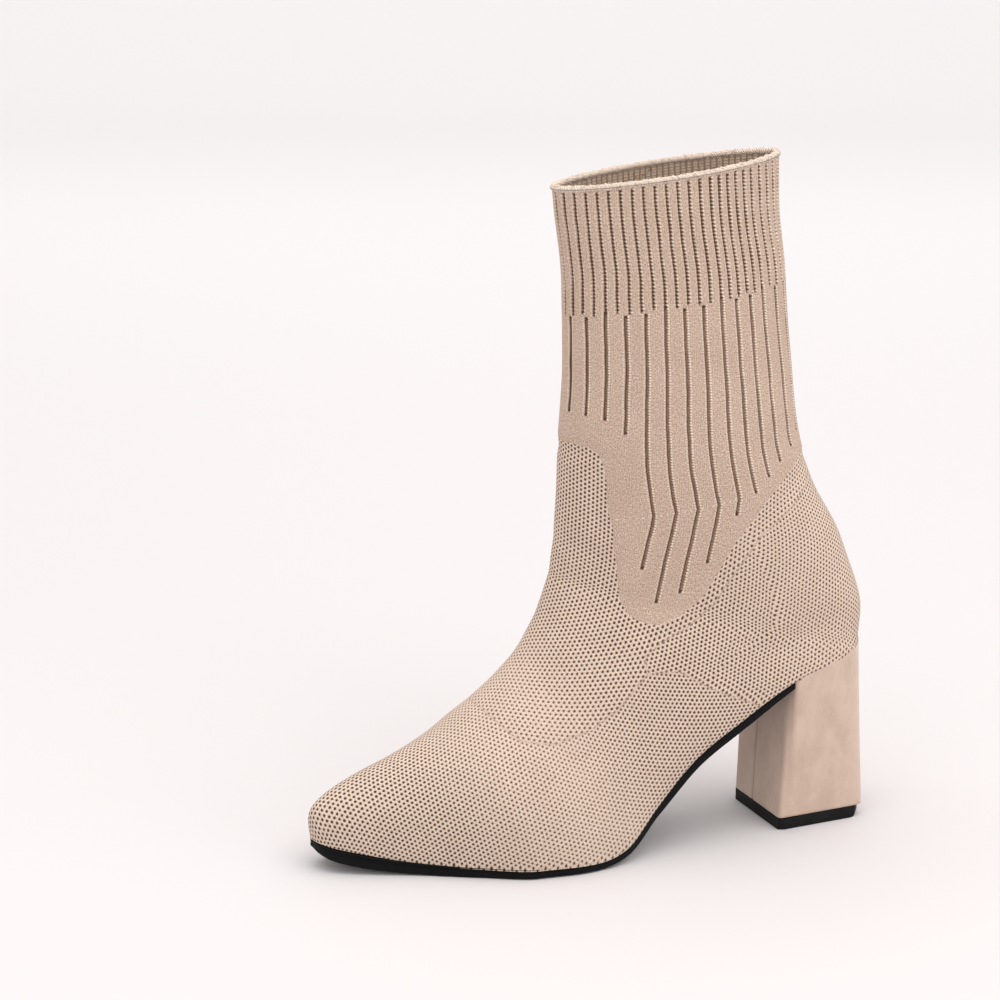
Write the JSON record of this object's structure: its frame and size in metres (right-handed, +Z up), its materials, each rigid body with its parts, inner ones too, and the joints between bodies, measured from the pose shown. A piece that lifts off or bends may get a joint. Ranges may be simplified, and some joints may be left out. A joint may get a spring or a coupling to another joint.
{
  "type": "sock boot",
  "caption": "Left-foot sock boot with a ribbed knitted shaft, pointed mesh-knit foot, thin curved sole and a square covered block heel.",
  "frame": {"origin": "middle of the heel's ground face, on the floor", "axes": "+Z up, -Y towards the toe, +X towards the outer side of the left foot"},
  "size_m": [0.0797, 0.2442, 0.291],
  "materials": {
    "knit": "matt ribbed and mesh knit",
    "sole_black": "semi-gloss",
    "heel_suede": "fine suede",
    "insole_lining": "matt",
    "ribbon": "matt woven tape"
  },
  "bodies": {
    "root": {"upper": "knit", "outsole": "sole_black", "insole": "insole_lining", "heel_block": "heel_suede", "heel_tip": "sole_black", "back_tape": "ribbon"}
  },
  "joints": []
}
